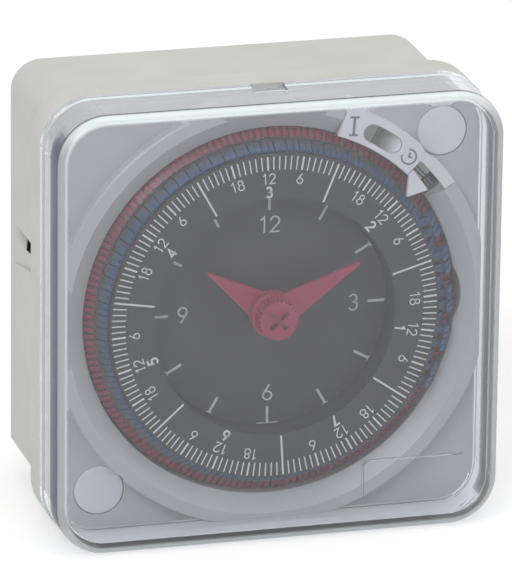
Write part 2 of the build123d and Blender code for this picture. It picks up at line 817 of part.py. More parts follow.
with BuildPart() as hour_wheel:  # pinion, wheel and tube in one moulding
    with BuildSketch(front(front_plate_h - 2.2)):
        Polygon(*tooth_points(hour_teeth, hour_module, minute_direction), align=None)
    extrude(amount=0.8)
    with BuildSketch(front(front_plate_h - 4.0)):
        Polygon(*tooth_points(hour_pinion_teeth, train_module, week_direction), align=None)
    extrude(amount=0.9)
    with BuildSketch(front(front_plate_h - 3.1)):
        Circle(hour_tube)
    extrude(amount=hour_hand_h + hand_thick - front_plate_h + 3.1)
    with BuildSketch(front(front_plate_h - 4.1)):
        Circle(hour_bore)
    extrude(amount=ring_front_h, mode=Mode.SUBTRACT)
save(hour_wheel.part, "hour_wheel")

with BuildPart() as cannon_pinion:
    with BuildSketch(front(front_plate_h - 5.8)):
        Polygon(*tooth_points(cannon_teeth, train_module, minute_direction), align=None)
        Circle(shaft_radius + press, mode=Mode.SUBTRACT)
    extrude(amount=1.0)
save(cannon_pinion.part, "cannon_pinion")

with BuildPart() as minute_wheel:  # wheel, pinion and pivots turning between bridge and plate
    with BuildSketch(front(front_plate_h - 5.8)):
        with Locations(minute_axis):
            Polygon(*tooth_points(minute_teeth, train_module, minute_direction + 180, gap=True), align=None)
    extrude(amount=0.8)
    with BuildSketch(front(front_plate_h - 5.0)):
        with Locations(minute_axis):
            pinion_outline = tooth_points(minute_pinion_teeth, hour_module, minute_direction + 180, gap=True)
            Polygon(*pinion_outline, align=None)
    extrude(amount=3.7)
    with BuildSketch(front(bridge_h + 0.1)):
        with Locations(minute_axis):
            Circle(thin_pivot)
    extrude(amount=front_plate_h + front_plate_thick - bridge_h - 0.2)
save(minute_wheel.part, "minute_wheel")

with BuildPart() as week_drive_wheel:
    with BuildSketch(front(front_plate_h - 4.0)):
        with Locations(week_axis):
            Polygon(*tooth_points(week_drive_teeth, train_module, week_direction + 180, gap=True), align=None)
            Circle(pivot + press, mode=Mode.SUBTRACT)
    extrude(amount=0.8)
save(week_drive_wheel.part, "week_drive_wheel")

with BuildPart() as week_drive_pinion:
    with BuildSketch(front(bridge_h + 0.1)):
        with Locations(week_axis):
            Circle(pivot)
    extrude(amount=hub_back_h - bridge_h)
    with BuildSketch(front(hub_back_h - 0.1)):
        with Locations(week_axis):
            Polygon(*tooth_points(week_pinion_teeth, week_module, week_direction + 180, gap=True), align=None)
    extrude(amount=1.8)
save(week_drive_pinion.part, "week_drive_pinion")

with BuildPart() as centre_wheel:
    with BuildSketch(front(centre_wheel_h)):
        Polygon(*tooth_points(centre_teeth, train_module, second_direction), align=None)
        Circle(shaft_radius + press, mode=Mode.SUBTRACT)
        with PolarLocations(7.6, 5):
            Circle(3.0, mode=Mode.SUBTRACT)
    extrude(amount=0.9)
save(centre_wheel.part, "centre_wheel")

with BuildPart() as clutch_spring:  # three-armed washer that lets the hands be set
    with BuildSketch(front(centre_wheel_h + 0.95)):
        Circle(2.0)
        with PolarLocations(2.9, 3):
            Rectangle(4.0, 1.2)
        Circle(shaft_radius + press, mode=Mode.SUBTRACT)
    extrude(amount=0.3)
save(clutch_spring.part, "clutch_spring")

with BuildPart() as reduction_pinion:
    with BuildSketch(front(back_plate_h + 0.1)):
        with Locations(second_axis):
            Circle(pivot)
    extrude(amount=front_plate_h + front_plate_thick - back_plate_h - 0.2)
    with BuildSketch(front(centre_wheel_h - 0.2)):
        with Locations(second_axis):
            pinion_outline = tooth_points(second_pinion_teeth, train_module, second_direction + 180, gap=True)
            Polygon(*pinion_outline, align=None)
    extrude(amount=1.3)
save(reduction_pinion.part, "reduction_pinion")

with BuildPart() as reduction_wheel:
    with BuildSketch(front(second_wheel_h)):
        with Locations(second_axis):
            Polygon(*tooth_points(second_teeth, second_module, motor_direction), align=None)
            Circle(pivot + press, mode=Mode.SUBTRACT)
            with PolarLocations(6.6, 4):
                Circle(2.8, mode=Mode.SUBTRACT)
    extrude(amount=0.8)
save(reduction_wheel.part, "reduction_wheel")

motor_front_h = back_plate_h
motor_cover_thick = 1.1
motor_back_h = wall + 0.3
motor_shell = 0.8

with BuildPart() as motor_pinion:
    with BuildSketch(front(motor_front_h - motor_cover_thick)):
        with Locations(motor_axis):
            Circle(0.6)
    extrude(amount=second_wheel_h + 0.2 - motor_front_h + motor_cover_thick)
    with BuildSketch(front(second_wheel_h - 0.2)):
        with Locations(motor_axis):
            Polygon(*tooth_points(motor_teeth, second_module, motor_direction + 180, gap=True), align=None)
    extrude(amount=1.2)
save(motor_pinion.part, "motor_pinion")

with BuildPart() as motor_can:
    with BuildSketch(front(motor_back_h)):
        with Locations((motor_x, motor_z)):
            Circle(motor_radius)
    extrude(amount=motor_front_h - motor_cover_thick - motor_back_h)
    fillet(motor_can.faces().sort_by(Axis.Y)[-1].edges(), 0.6)
    with BuildSketch(front(motor_back_h + motor_shell)):
        with Locations((motor_x, motor_z)):
            Circle(motor_radius - motor_shell)
    extrude(amount=motor_front_h, mode=Mode.SUBTRACT)
save(motor_can.part, "motor_can")

with BuildPart() as motor_plate:
    with BuildSketch(front(motor_front_h - motor_cover_thick)):
        with Locations((motor_x, motor_z)):
            Circle(motor_radius - 0.1)
        with Locations(motor_axis):
            Circle(0.6 + fit, mode=Mode.SUBTRACT)
    extrude(amount=motor_cover_thick)
save(motor_plate.part, "motor_plate")

motor_centre = (motor_x, motor_z)
rotor_radius = 5.4
coil_back_h = motor_back_h + motor_shell + 0.2
coil_front_h = motor_front_h - motor_cover_thick - 0.6
coil_inner, coil_outer = rotor_radius + 1.0, motor_radius - motor_shell - 0.3
save(cylinder_between(coil_inner, coil_outer, coil_back_h, coil_front_h, motor_centre), "motor_coil")

with BuildPart() as motor_rotor:
    with BuildSketch(front(motor_back_h + motor_shell + 0.1)):
        with Locations(motor_centre):
            Circle(0.5)
    extrude(amount=motor_front_h - motor_cover_thick - motor_back_h - motor_shell - 0.2)
    with BuildSketch(front(coil_back_h + 0.3)):
        with Locations(motor_centre):
            Circle(rotor_radius)
    extrude(amount=coil_front_h - coil_back_h - 0.6)
save(motor_rotor.part, "motor_rotor")

plate_middle = ((plate_left + plate_right) / 2, (plate_low + plate_high) / 2)
plate_size = (plate_right - plate_left, plate_high - plate_low)
bridge_posts = [(9.0, -9.0), (-7.6, 5.0)]
peg_points = [(micro_left + 3.0, micro_low + 2.5), (micro_right - 2.5, micro_high - 2.0)]

with BuildPart() as back_plate:
    with BuildSketch(front(back_plate_h)):
        with Locations(plate_middle):
            RectangleRounded(*plate_size, 2.0)
        with Locations(((plate_right + inner_half - 0.6) / 2 - 1, (micro_low + feeler_pivot[1]) / 2 + 1)):
            Rectangle(inner_half - 0.6 - plate_right + 2, feeler_pivot[1] - micro_low + 4)
        with Locations(*pillar_points, *peg_points):
            Circle(screw_radius + fit, mode=Mode.SUBTRACT)
        Circle(shaft_radius + fit, mode=Mode.SUBTRACT)
        with Locations(second_axis, motor_axis):
            Circle(pivot + fit, mode=Mode.SUBTRACT)
        with Locations(feeler_pivot):
            Circle(pin_radius + press, mode=Mode.SUBTRACT)
    extrude(amount=back_plate_thick)
save(back_plate.part, "back_plate")

with BuildPart() as front_plate:
    with BuildSketch(front(front_plate_h)):
        with Locations(plate_middle):
            RectangleRounded(*plate_size, 2.0)
        with Locations(*pillar_points):
            Circle(screw_radius + fit, mode=Mode.SUBTRACT)
        Circle(hour_tube + 2 * fit, mode=Mode.SUBTRACT)
        with Locations(second_axis, week_axis):
            Circle(pivot + fit, mode=Mode.SUBTRACT)
        with Locations(minute_axis):
            Circle(thin_pivot + fit, mode=Mode.SUBTRACT)
        with Locations(*bridge_posts):
            Circle(0.8 + fit, mode=Mode.SUBTRACT)
    extrude(amount=front_plate_thick)
save(front_plate.part, "front_plate")

with BuildPart() as plate_pillars:
    with BuildSketch(front(back_plate_h + back_plate_thick)):
        with Locations(*pillar_points):
            Circle(2.0)
            Circle(screw_radius + fit, mode=Mode.SUBTRACT)
    extrude(amount=front_plate_h - back_plate_h - back_plate_thick)
save(plate_pillars.part, "plate_pillars")

with BuildPart() as movement_screws:
    with BuildSketch(front(screw_tip_h)):
        with Locations(*pillar_points):
            Circle(screw_radius)
    extrude(amount=sleeve_flange_h - screw_tip_h)
    with BuildSketch(front(sleeve_flange_h)):
        with Locations(*pillar_points):
            Circle(1.9)
    extrude(amount=1.3)
    with BuildSketch(front(sleeve_flange_h + 0.7)):
        with Locations(*pillar_points):
            Rectangle(4.0, 0.5)
    extrude(amount=1.0, mode=Mode.SUBTRACT)
save(movement_screws.part, "movement_screws")

with BuildPart() as motion_bridge:
    with BuildSketch(front(bridge_h)):
        with BuildLine():
            for point in bridge_posts:
                CenterArc(point, 2.2, 0, 360)
            for point in (minute_axis, week_axis):
                CenterArc(point, 1.7, 0, 360)
        make_hull()
        Circle(shaft_radius + 0.3, mode=Mode.SUBTRACT)
        with Locations(minute_axis):
            Circle(thin_pivot + fit, mode=Mode.SUBTRACT)
        with Locations(week_axis):
            Circle(pivot + fit, mode=Mode.SUBTRACT)
    extrude(amount=0.7)
    with BuildSketch(front(bridge_h + 0.7)):
        with Locations(*bridge_posts):
            Circle(1.3)
    extrude(amount=front_plate_h - bridge_h - 0.7)
    with BuildSketch(front(bridge_h + 2.0)):
        with Locations(*bridge_posts):
            Circle(0.8 + fit)
    extrude(amount=front_plate_h, mode=Mode.SUBTRACT)
save(motion_bridge.part, "motion_bridge")

with BuildPart() as bridge_screws:
    with BuildSketch(front(bridge_h + 2.5)):
        with Locations(*bridge_posts):
            Circle(0.8)
    extrude(amount=sleeve_flange_h - bridge_h - 2.5)
    with BuildSketch(front(sleeve_flange_h)):
        with Locations(*bridge_posts):
            Circle(1.5)
    extrude(amount=0.8)
save(bridge_screws.part, "bridge_screws")

# ==================================================================== switch

button_h = micro_back_h + 6.0
button_size = 1.6
button_gap = 0.12
blade_x = micro_left + 5.8
fixed_x = micro_left + 2.2
blade_low = micro_low + micro_wall + 0.2
slot_clear = 0.1

with BuildPart() as microswitch_case:
    with BuildSketch(front(micro_back_h)):
        with Locations(((micro_left + micro_right) / 2, (micro_low + micro_high) / 2)):
            Rectangle(micro_right - micro_left, micro_high - micro_low)
    extrude(amount=micro_front_h - micro_back_h)
    with BuildSketch(front(micro_back_h + micro_wall)):
        with Locations(((micro_left + micro_right) / 2, (micro_low + micro_high) / 2)):
            Rectangle(micro_right - micro_left - 2 * micro_wall, micro_high - micro_low - 2 * micro_wall)
    extrude(amount=micro_front_h, mode=Mode.SUBTRACT)
    with BuildSketch(Plane.YZ.offset(micro_right - micro_wall - 0.1)):  # guide of the button
        with Locations((-button_h, button_z)):
            Rectangle(button_size + 2 * slot_clear, button_size + 2 * slot_clear)
    extrude(amount=micro_wall + 1, mode=Mode.SUBTRACT)
    with BuildSketch(Plane.XY.offset(micro_low - 0.1)):  # slots of the terminals
        with Locations((blade_x, -button_h), (fixed_x, -button_h)):
            Rectangle(0.6 + 2 * slot_clear, 2.4 + 2 * slot_clear)
    extrude(amount=micro_wall + 0.2, mode=Mode.SUBTRACT)
    with BuildSketch(front(back_plate_h)):  # pegs in the back plate
        with Locations(*peg_points):
            Circle(screw_radius)
    extrude(amount=back_plate_thick)
save(microswitch_case.part, "microswitch_case")

with BuildPart() as microswitch_lid:
    with BuildSketch(front(micro_front_h)):
        with Locations(((micro_left + micro_right) / 2, (micro_low + micro_high) / 2)):
            Rectangle(micro_right - micro_left, micro_high - micro_low)
    extrude(amount=0.8)
save(microswitch_lid.part, "microswitch_lid")

with BuildPart() as switch_button:
    with BuildSketch(Plane.YZ.offset(micro_right - micro_wall - 0.9)):
        with Locations((-button_h, button_z)):
            Rectangle(button_size, button_size)
    extrude(amount=arm_left - button_gap - micro_right + micro_wall + 0.9)
    fillet(switch_button.faces().sort_by(Axis.X)[-1].edges(), 0.3)
    with BuildSketch(Plane.YZ.offset(micro_right - micro_wall - 0.9)):
        with Locations((-button_h, button_z)):
            Rectangle(button_size + 1.2, button_size)
    extrude(amount=0.8)
save(switch_button.part, "switch_button")

with BuildPart() as contact_blade:
    with BuildSketch(Plane.YZ.offset(blade_x - 0.15)):
        with Locations((-button_h, (blade_low + button_z + 1.0) / 2)):
            Rectangle(2.2, button_z + 1.0 - blade_low)
    extrude(amount=0.3)
    with BuildSketch(Plane.YZ.offset(blade_x - 0.75)):
        with Locations((-button_h, button_z - 0.6)):
            Circle(1.0)
    extrude(amount=0.6)
save(contact_blade.part, "contact_blade")

tab_low = micro_low - 4.0

with BuildPart() as switch_terminals:
    with BuildSketch(Plane.YZ.offset(fixed_x - 0.3)):
        with Locations((-button_h, (tab_low + button_z) / 2)):
            Rectangle(2.4, button_z - tab_low)
    extrude(amount=0.6)
    with BuildSketch(Plane.YZ.offset(fixed_x + 0.3)):
        with Locations((-button_h, button_z - 1.2)):
            Circle(1.0)
    extrude(amount=0.5)
    with BuildSketch(Plane.YZ.offset(blade_x - 0.3)):
        with Locations((-button_h, (tab_low + blade_low - 0.1) / 2)):
            Rectangle(2.4, blade_low - 0.1 - tab_low)
    extrude(amount=0.6)
save(switch_terminals.part, "switch_terminals")

save(cylinder_between(0, pin_radius, back_plate_h, flange_front_h - 0.6, feeler_pivot), "feeler_pin")

arm_back_h = flange_front_h - 2.9
arm_front_h = flange_front_h - 1.1
post_first, post_last = 50.6, 53.4
post_inner, post_outer = well_radius + 1.0, well_radius + 2.4
feeler_tip = tappet_in_radius + 0.3
head_top_h = arc_back_h - 0.15
post_middle = polar((post_inner + post_outer) / 2, (post_first + post_last) / 2)
arm_vector = (post_middle[0] - feeler_pivot[0], post_middle[1] - feeler_pivot[1])
arm_length = hypot(*arm_vector)
arm_turn = degrees(atan2(arm_vector[1], arm_vector[0]))

with BuildPart() as switch_feeler:
    with BuildSketch(front(button_h - 2.2)):
        with Locations(feeler_pivot):
            Circle(feeler_hub)
    extrude(amount=arm_front_h - button_h + 2.2)
    with BuildSketch(front(button_h - 1.2)):  # arm that presses the button
        with Locations((arm_left + 0.65, (button_z - 1.0 + feeler_pivot[1]) / 2)):
            Rectangle(1.3, feeler_pivot[1] - button_z + 1.0)
    extrude(amount=2.4)
    with BuildSketch(front(arm_back_h)):  # arm under the faceplate, to the window
        with Locations(Location((*feeler_pivot, 0), (0, 0, arm_turn))):
            with Locations((arm_length / 2, 0)):
                Rectangle(arm_length, 2.2)
        add(sector(post_inner, post_outer, post_first, post_last))
    extrude(amount=arm_front_h - arm_back_h)
    with BuildSketch(front(arm_back_h)):
        add(sector(post_inner, post_outer, post_first, post_last))
    extrude(amount=head_top_h - arm_back_h)
    with BuildSketch(front(plate_front_h + 0.1)):  # head that rides on the tappets
        with BuildLine():
            Polyline(
                polar(feeler_tip, 49.8),
                polar(feeler_tip, 51.6),
                polar(post_inner + 0.3, post_last),
                polar(post_inner + 0.3, post_first),
                close=True,
            )
        make_face()
    extrude(amount=head_top_h - plate_front_h - 0.1)
    with BuildSketch(front(head_top_h)):  # ribbed top of the head
        add(rib_grooves(post_inner - rib_pitch, post_outer + rib_pitch, post_first - 1, post_last + 1))
    extrude(amount=-rib_depth, mode=Mode.SUBTRACT)
    with BuildSketch(front(button_h - 2.3)):
        with Locations(feeler_pivot):
            Circle(pin_radius + fit)
    extrude(amount=flange_front_h, mode=Mode.SUBTRACT)
save(switch_feeler.part, "switch_feeler")

# ==================================================================== terminals

block_half = terminal_pitch * (terminal_count - 1) / 2 + 5.5
block_low, block_high = body_bottom + wall + 0.2, body_bottom + wall + 9.8
block_back_h = wall + 0.1
clamp_half, clamp_low, clamp_high = 3.9, block_low + 0.3, block_high - 1.4
clamp_back_h, clamp_front_h = block_back_h + 1.9, block_front_h - 1.8

with BuildPart() as terminal_block:
    with BuildSketch(front(block_back_h)):
        with Locations((0, (block_low + block_high) / 2)):
            Rectangle(2 * block_half, block_high - block_low)
    extrude(amount=block_front_h - block_back_h)
    with BuildSketch(front(clamp_back_h - 0.1)):
        with Locations(*[(x, (block_low + clamp_high) / 2) for x in terminal_xs]):
            Rectangle(2 * clamp_half + 0.3, clamp_high - block_low + 0.2)
    extrude(amount=clamp_front_h - clamp_back_h + 0.2, mode=Mode.SUBTRACT)
    with BuildSketch(front(block_back_h)):
        with Locations(*[(x, terminal_z) for x in terminal_xs]):
            Circle(driver_radius)
    extrude(amount=clamp_back_h - block_back_h, mode=Mode.SUBTRACT)
    with BuildSketch(Plane.XY.offset(clamp_high - 0.1)):
        with Locations(*[(x, -wire_h) for x in terminal_xs]):
            Circle(1.0)
    extrude(amount=5, mode=Mode.SUBTRACT)
save(terminal_block.part, "terminal_block")

with BuildPart() as terminal_clamps:
    with BuildSketch(front(clamp_back_h)):
        with Locations(*[(x, (clamp_low + clamp_high) / 2) for x in terminal_xs]):
            Rectangle(2 * clamp_half, clamp_high - clamp_low)
    extrude(amount=clamp_front_h - clamp_back_h)
    with BuildSketch(Plane.XY.offset(clamp_low - 0.1)):
        with Locations(*[(x, -wire_h) for x in terminal_xs]):
            Rectangle(2 * clamp_half - 2.0, 5.2)
    extrude(amount=clamp_high - clamp_low - 1.2, mode=Mode.SUBTRACT)
    with BuildSketch(front(clamp_back_h - 0.1)):
        with Locations(*[(x, terminal_z) for x in terminal_xs]):
            Circle(1.6)
    extrude(amount=4, mode=Mode.SUBTRACT)
save(terminal_clamps.part, "terminal_clamps")

with BuildPart() as terminal_screws:
    with BuildSketch(front(block_back_h + 0.2)):
        with Locations(*[(x, terminal_z) for x in terminal_xs]):
            Circle(driver_radius - 0.15)
    extrude(amount=clamp_back_h - block_back_h - 0.25)
    with BuildSketch(front(block_back_h + 1.0)):
        with Locations(*[(x, terminal_z) for x in terminal_xs]):
            Circle(1.6 - fit)
    extrude(amount=4.1)
    with BuildSketch(front(block_back_h)):
        with Locations(*[(x, terminal_z) for x in terminal_xs]):
            Rectangle(4.6, 0.7)
    extrude(amount=1.0, mode=Mode.SUBTRACT)
save(terminal_screws.part, "terminal_screws")

lead_start = clamp_high
can_reach = motor_radius + 0.1
motor_lead_ends = [(x, motor_z - sqrt(can_reach**2 - (x - motor_x) ** 2)) for x in terminal_xs[:2]]
lead_turn_low, lead_turn_high = block_high + 1.6, tab_low - 4.2


def bend_radius(before, corner, after):
    """Radius of the arc at a corner of a lead, as large as its two runs allow."""
    first = Vector(*corner) - Vector(*before)
    second = Vector(*after) - Vector(*corner)
    half_turn = radians(first.get_angle(second)) / 2
    return 0.45 * min(first.length, second.length) / tan(half_turn)


with BuildPart() as leads:
    with BuildSketch(Plane.XY.offset(lead_start)):
        for x, _ in motor_lead_ends:
            with Locations((x, -wire_h)):
                Circle(lead_radius)
    extrude(amount=motor_lead_ends[1][1] - lead_start)
    for x, tab_x in ((terminal_xs[3], fixed_x), (terminal_xs[4], blade_x)):
        route = [
            (x, -wire_h, lead_start),
            (x, -wire_h, lead_turn_low),
            (tab_x, -button_h, lead_turn_high),
            (tab_x, -button_h, tab_low),
        ]
        bends = [bend_radius(*route[corner : corner + 3]) for corner in range(2)]
        with BuildLine() as path:
            FilletPolyline(*route, radius=bends)
        with BuildSketch(Plane.XY.offset(lead_start)):
            with Locations((x, -wire_h)):
                Circle(lead_radius)
        sweep(path=path.line)
save(leads.part, "leads")
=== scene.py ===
import json
import math

import bmesh
import bpy
from mathutils import Matrix, Vector


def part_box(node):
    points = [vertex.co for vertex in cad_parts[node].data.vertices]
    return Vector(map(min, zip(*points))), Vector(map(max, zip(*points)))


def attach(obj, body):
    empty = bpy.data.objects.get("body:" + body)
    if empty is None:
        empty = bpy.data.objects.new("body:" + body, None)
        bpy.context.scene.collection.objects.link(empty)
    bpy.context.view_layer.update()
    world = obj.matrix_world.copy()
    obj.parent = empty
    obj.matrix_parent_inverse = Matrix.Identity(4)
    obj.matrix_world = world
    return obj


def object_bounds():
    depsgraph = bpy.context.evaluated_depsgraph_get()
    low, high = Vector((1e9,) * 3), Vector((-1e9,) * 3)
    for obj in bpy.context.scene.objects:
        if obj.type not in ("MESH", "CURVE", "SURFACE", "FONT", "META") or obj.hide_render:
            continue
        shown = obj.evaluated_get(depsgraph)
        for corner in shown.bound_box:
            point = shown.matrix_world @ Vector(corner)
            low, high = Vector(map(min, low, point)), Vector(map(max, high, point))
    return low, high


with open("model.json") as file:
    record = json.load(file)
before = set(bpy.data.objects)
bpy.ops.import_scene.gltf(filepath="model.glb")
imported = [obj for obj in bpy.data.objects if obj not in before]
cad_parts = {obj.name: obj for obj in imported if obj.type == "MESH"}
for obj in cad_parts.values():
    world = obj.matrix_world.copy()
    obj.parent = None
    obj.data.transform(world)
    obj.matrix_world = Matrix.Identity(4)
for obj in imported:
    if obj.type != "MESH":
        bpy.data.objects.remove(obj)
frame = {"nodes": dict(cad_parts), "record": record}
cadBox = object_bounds()
mm = 0.001  # sizes below are in millimetres until they meet this
print("frame loaded:", len(frame["nodes"]), "nodes")

view = {
    "azimuth": -15.58,  # degrees, to the left of straight on
    "elevation": 18.69,
    "roll": -0.65,
    "distance": 1100,
    "aim": (1.5, -20, -1.6),
    "lens": 427.8,
    "sensor": 36,
    "farClip": 100000,
}


def makeCamera(look):
    side, rise = math.radians(-look["azimuth"]), math.radians(look["elevation"])
    level = math.cos(rise)
    forward = Vector((math.sin(side) * level, math.cos(side) * level, -math.sin(rise)))
    roll = Matrix.Rotation(math.radians(-look["roll"]), 3, "Z").to_quaternion()
    camera = bpy.data.objects.new("camera", bpy.data.cameras.new("camera"))
    camera.data.lens = look["lens"]
    camera.data.sensor_width = look["sensor"]
    camera.data.clip_end = look["farClip"] * mm
    camera.location = (Vector(look["aim"]) - look["distance"] * forward) * mm
    camera.rotation_mode = "QUATERNION"
    camera.rotation_quaternion = forward.to_track_quat("-Z", "Y") @ roll
    bpy.context.scene.collection.objects.link(camera)
    bpy.context.scene.camera = camera


makeCamera(view)
bpy.context.scene.view_settings.view_transform = "Standard"
print("camera placed")


def linearColour(hexText):
    channels = [int(hexText[i:i + 2], 16) / 255 for i in (1, 3, 5)]
    return (*[c / 12.92 if c <= 0.04045 else ((c + 0.055) / 1.055) ** 2.4 for c in channels], 1)


def addNode(tree, kind, settings=None, links=None):
    # a setting is a socket's value or one of the node's own choices
    # a link comes from a socket, or from a node's first output
    node = tree.nodes.new("ShaderNode" + kind)
    for name, value in (settings or {}).items():
        if isinstance(name, int) or name in node.inputs:
            node.inputs[name].default_value = value
        else:
            setattr(node, name, value)
    for name, source in (links or {}).items():
        tree.links.new(source.outputs[0] if hasattr(source, "outputs") else source, node.inputs[name])
    return node


def newMaterial(name):
    material = bpy.data.materials.new(name)
    material.use_nodes = True
    material.node_tree.nodes.clear()
    return material, material.node_tree


def placeInPart(tree):
    # X, Y, Z and the distance from the dial's axis, in the part's own frame, in mm
    metres = addNode(tree, "TexCoord").outputs["Object"]
    spot = addNode(tree, "VectorMath", {"operation": "SCALE", "Scale": 1 / mm}, {0: metres})
    flat = addNode(tree, "VectorMath", {"operation": "MULTIPLY", 1: (1, 0, 1)}, {0: spot})
    place = dict(addNode(tree, "SeparateXYZ", links={0: spot}).outputs.items())
    place["radius"] = addNode(tree, "VectorMath", {"operation": "LENGTH"}, {0: flat}).outputs["Value"]
    return place


def spotsOf(tree, size, detail=2, stretch=(1, 1, 1)):
    # random spots about size mm across, longer along the axes with a small stretch
    place = addNode(tree, "TexCoord").outputs["Object"]
    stretched = addNode(tree, "Mapping", {"Scale": stretch}, {"Vector": place})
    return addNode(tree, "TexNoise", {"Scale": 1 / (size * mm), "Detail": detail}, {"Vector": stretched})


def unevenSurface(tree, look, spots, grain):
    # two tones in spots, and a roughness that wanders with the grain
    span = {"From Min": 0.3, "From Max": 0.7}  # nearly all of a noise lies here
    first, second = [linearColour(tone) for tone in look["tones"]]
    share = addNode(tree, "MapRange", span, {"Value": spots})
    colour = addNode(tree, "Mix", {"data_type": "RGBA", 6: first, 7: second}, {0: share}).outputs[2]
    low, high = look["roughness"] - look["uneven"], look["roughness"] + look["uneven"]
    roughness = addNode(tree, "MapRange", {**span, "To Min": low, "To Max": high}, {"Value": grain})
    return colour, roughness


def shareWhere(tree, *limits):
    # 0 to 1: each limit is a value, where its share starts, and where it is full
    shares = [
        addNode(tree, "MapRange", {"From Min": start, "From Max": full}, {"Value": value})
        for value, start, full in limits
    ]
    product = shares[0]
    for share in shares[1:]:
        product = addNode(tree, "Math", {"operation": "MULTIPLY"}, {0: product, 1: share})
    return product


def paintWhere(tree, colour, tone, *limits):
    # the colour turns to another tone inside the limits
    paint = {"data_type": "RGBA", 7: linearColour(tone)}
    return addNode(tree, "Mix", paint, {0: shareWhere(tree, *limits), 6: colour}).outputs[2]


# a mould's real grain is too fine to show, so it is drawn 0.18 to 0.45 mm wide
mouldedLooks = {
    # light grey ABS, spark-eroded mould: an even dull grain with a very soft sheen
    "mouldedGreyAbs": {
        "tones": ("#C2C2BE", "#C9C9C6"), "toneSize": 9, "grain": 0.35, "depth": 0.010,
        "roughness": 0.46, "uneven": 0.05, "ior": 1.53,
    },
    # pale grey ABS, finely blasted mould: smoother than the case, catches a broad highlight
    "blastedPaleAbs": {
        "tones": ("#C2C3C5", "#C9CACC"), "toneSize": 11, "grain": 0.22, "depth": 0.005,
        "roughness": 0.38, "uneven": 0.05, "ior": 1.53,
    },
    # white ABS, finely blasted mould: the caps, the pointer and the switch stand out from the plate
    "blastedWhiteAbs": {
        "tones": ("#E6E7EB", "#EEEFF2"), "toneSize": 8, "grain": 0.22, "depth": 0.003,
        "roughness": 0.36, "uneven": 0.05, "ior": 1.53,
    },
    # red acetal, polished mould: waxy, a little translucent, with a soft gloss
    "mouldedRedAcetal": {
        "tones": ("#A01C4C", "#AA2454"), "toneSize": 5, "grain": 0.18, "depth": 0.003,
        "roughness": 0.36, "uneven": 0.05, "ior": 1.48, "translucent": 0.08,
    },
    # blue acetal, polished mould: waxy like the red
    "mouldedBlueAcetal": {
        "tones": ("#2A4F7C", "#335A88"), "toneSize": 4, "grain": 0.18, "depth": 0.003,
        "roughness": 0.36, "uneven": 0.05, "ior": 1.48, "translucent": 0.08,
    },
    # black ABS, textured mould: a matt charcoal face that doesn't glare behind the window
    "mattBlackAbs": {
        "tones": ("#28282B", "#2D2D30"), "toneSize": 6, "grain": 0.45, "depth": 0.0004,
        "roughness": 0.6, "uneven": 0.004, "ior": 1.53,
    },
    # undyed acetal, hobbed gears: ivory, faintly translucent
    "hobbedNaturalAcetal": {
        "tones": ("#DFDACB", "#E8E4D7"), "toneSize": 4, "grain": 0.2, "depth": 0.003,
        "roughness": 0.34, "uneven": 0.05, "ior": 1.48, "translucent": 0.1,
    },
    # black glass-filled nylon: fibre flow makes it streaky and slightly rough
    "glassFilledBlackNylon": {
        "tones": ("#1B1B1D", "#262628"), "toneSize": 3, "grain": 0.3, "depth": 0.012,
        "roughness": 0.5, "uneven": 0.05, "ior": 1.53,
    },
    # brown PVC lead sheath, extruded: smooth with a soft shine
    "extrudedBrownPvc": {
        "tones": ("#4E2C1C", "#5A3322"), "toneSize": 3, "grain": 0.3, "depth": 0.004,
        "roughness": 0.4, "uneven": 0.05, "ior": 1.53,
    },
    # sintered ferrite magnet: dark, dull and stony
    "sinteredFerrite": {
        "tones": ("#2C2B2D", "#3A393B"), "toneSize": 1.2, "grain": 0.2, "depth": 0.015,
        "roughness": 0.6, "uneven": 0.05, "ior": 1.6,
    },
}
lightReach = 0.4  # how far light wanders inside a translucent moulding


def mouldedPlastic(name, shade=None):
    # shade paints light and shade into the colour of one piece
    look = mouldedLooks[name]
    material, tree = newMaterial(name)
    grain = spotsOf(tree, look["grain"])
    colour, roughness = unevenSurface(tree, look, spotsOf(tree, look["toneSize"], detail=3), grain)
    if shade:
        colour = shade(tree, colour)
    bump = addNode(tree, "Bump", {"Distance": look["depth"] * mm, "Strength": 1}, {"Height": grain})
    inner = {"Subsurface Weight": look.get("translucent", 0), "Subsurface Scale": lightReach * mm}
    links = {"Base Color": colour, "Roughness": roughness, "Normal": bump}
    shader = addNode(tree, "BsdfPrincipled", {"IOR": look["ior"], **inner}, links)
    addNode(tree, "OutputMaterial", links={"Surface": shader})
    return material


# painted shade in recesses, and painted light on the feeler's rib tops
sharp = 0.01  # width of a limit without a fade

housingShade = {
    "half": 33.6,  # of the body's width, behind the flange
    "back": 1.5,  # a clip pocket in each side: its back end, front end, bottom and top
    "front": 17.2,
    "bottom": 0,
    "top": 7.3,
    "topSlack": 0.1,  # takes in the upper face itself
    "slope": 0.0774,  # how far its floor goes down for each mm forward
    "shadow": "#4E4E4A",  # under its upper edge
    "shadowFrom": 0.1,  # below the body's side
    "shadowTo": 0.7,
    "shadowTall": 3.2,
    # painted shade: the slots' walls painted near black
    "slot": "#20201F",
    "slotFrom": 0.05,  # below the pocket's floor
    "slotTo": 0.2,
}


